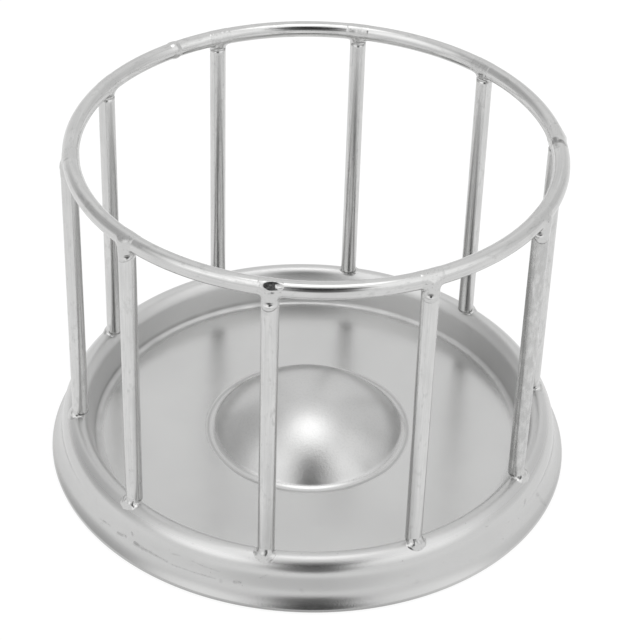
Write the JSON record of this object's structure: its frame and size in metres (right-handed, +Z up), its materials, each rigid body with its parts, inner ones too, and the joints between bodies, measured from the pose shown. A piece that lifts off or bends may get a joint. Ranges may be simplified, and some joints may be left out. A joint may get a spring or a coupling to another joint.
{
  "type": "reptile water dish",
  "caption": "Round pressed steel dish with a domed middle and rolled rim, fenced by upright wires welded under a wire ring, to hold a reptile's water or feed.",
  "frame": {"origin": "middle of the flat lip on which the dish stands", "axes": "+Z up along the axis of the dish, -Y towards the post at the front of the picture"},
  "size_m": [0.13, 0.13, 0.0891],
  "materials": {
    "dish_steel": "satin, nearly mirror bright",
    "wire_steel": "bright drawn wire",
    "weld_steel": "dressed weld, slightly rough"
  },
  "bodies": {
    "root": {"base_dish": "dish_steel", "top_ring": "wire_steel", "ring_butt_weld": "weld_steel", "post_01": "wire_steel", "post_02": "wire_steel", "post_03": "wire_steel", "post_04": "wire_steel", "post_05": "wire_steel", "post_06": "wire_steel", "post_07": "wire_steel", "post_08": "wire_steel", "post_09": "wire_steel", "post_10": "wire_steel", "ring_weld_01": "weld_steel", "ring_weld_02": "weld_steel", "ring_weld_03": "weld_steel", "ring_weld_04": "weld_steel", "ring_weld_05": "weld_steel", "ring_weld_06": "weld_steel", "ring_weld_07": "weld_steel", "ring_weld_08": "weld_steel", "ring_weld_09": "weld_steel", "ring_weld_10": "weld_steel", "foot_weld_01": "weld_steel", "foot_weld_02": "weld_steel", "foot_weld_03": "weld_steel", "foot_weld_04": "weld_steel", "foot_weld_05": "weld_steel", "foot_weld_06": "weld_steel", "foot_weld_07": "weld_steel", "foot_weld_08": "weld_steel", "foot_weld_09": "weld_steel", "foot_weld_10": "weld_steel"}
  },
  "joints": []
}
